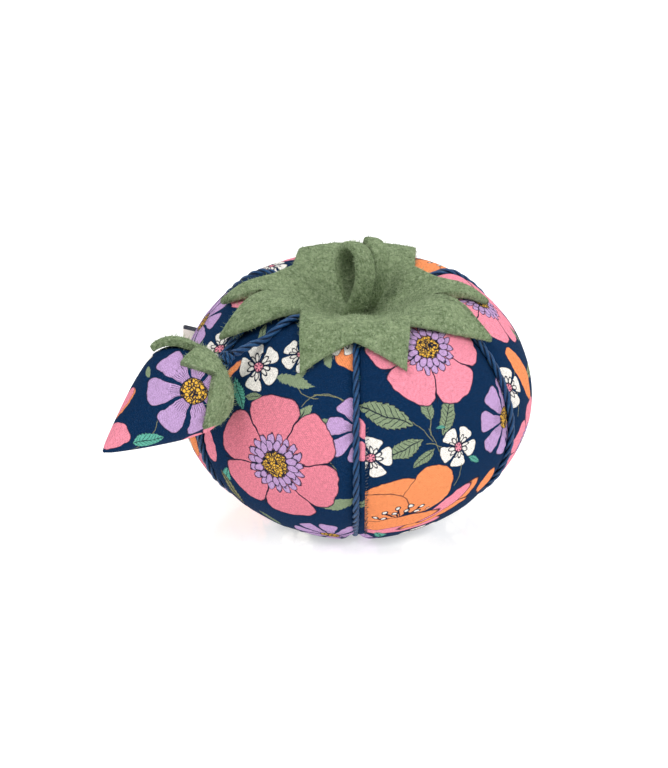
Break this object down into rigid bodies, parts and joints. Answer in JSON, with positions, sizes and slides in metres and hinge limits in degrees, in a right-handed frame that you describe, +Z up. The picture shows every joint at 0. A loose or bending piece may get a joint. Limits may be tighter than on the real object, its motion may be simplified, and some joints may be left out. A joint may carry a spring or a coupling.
{
  "type": "pin cushion",
  "caption": "Tomato pin cushion in printed cotton with cord ribs, a felt leaf cap and stem loop, and a strawberry sharpener hanging on a cord.",
  "frame": {"origin": "centre of the flat underside, on the plane the cushion rests on", "axes": "+Z up through the stem loop, -Y towards the front rib cord, +X to the right"},
  "size_m": [0.1069, 0.0958, 0.0775],
  "materials": {
    "print_cotton": "matte printed cotton",
    "navy_cord": "silky twisted cord",
    "packing": "packed fibre",
    "felt": "wool felt",
    "woven_label": "woven satin tape",
    "emery": "loose grit"
  },
  "bodies": {
    "cushion": {"cover_panel_1": "print_cotton", "cover_panel_2": "print_cotton", "cover_panel_3": "print_cotton", "cover_panel_4": "print_cotton", "cover_panel_5": "print_cotton", "cover_panel_6": "print_cotton", "rib_cord_1": "navy_cord", "rib_cord_2": "navy_cord", "rib_cord_3": "navy_cord", "rib_cord_4": "navy_cord", "rib_cord_5": "navy_cord", "rib_cord_6": "navy_cord", "stuffing": "packing", "centre_tie": "navy_cord", "base_knot": "navy_cord", "calyx": "felt", "stem_loop": "felt", "label_tag": "woven_label"},
    "anchor": {"tether_anchor": "navy_cord"},
    "tether": {"tether_cord": "navy_cord"},
    "tether_end": {"berry_knot": "navy_cord"},
    "berry": {"berry_shell": "print_cotton", "berry_filling": "emery", "berry_cap": "felt", "berry_gather_thread": "navy_cord"}
  },
  "joints": [
    {"name": "tether_swing", "type": "hinge", "parent": "cushion", "child": "anchor", "pos_m": [0, 0, 0.06], "axis": [0, 0, 1], "range_deg": [-5, 5]},
    {"name": "tether_lift", "type": "hinge", "parent": "anchor", "child": "tether", "pos_m": [-0.01556, -0.01556, 0.0604], "axis": [-0.7667, 0.642, 0], "range_deg": [0, 100]},
    {"name": "berry_swing", "type": "hinge", "parent": "tether", "child": "tether_end", "pos_m": [-0.031, -0.034, 0.057], "axis": [-0.309, 0.9511, 0], "range_deg": [0, 45]},
    {"name": "berry_spin", "type": "hinge", "parent": "tether_end", "child": "berry", "pos_m": [-0.031, -0.034, 0.057], "axis": [0.7976, 0.2592, 0.5446], "range_deg": [-180, 180]}
  ]
}
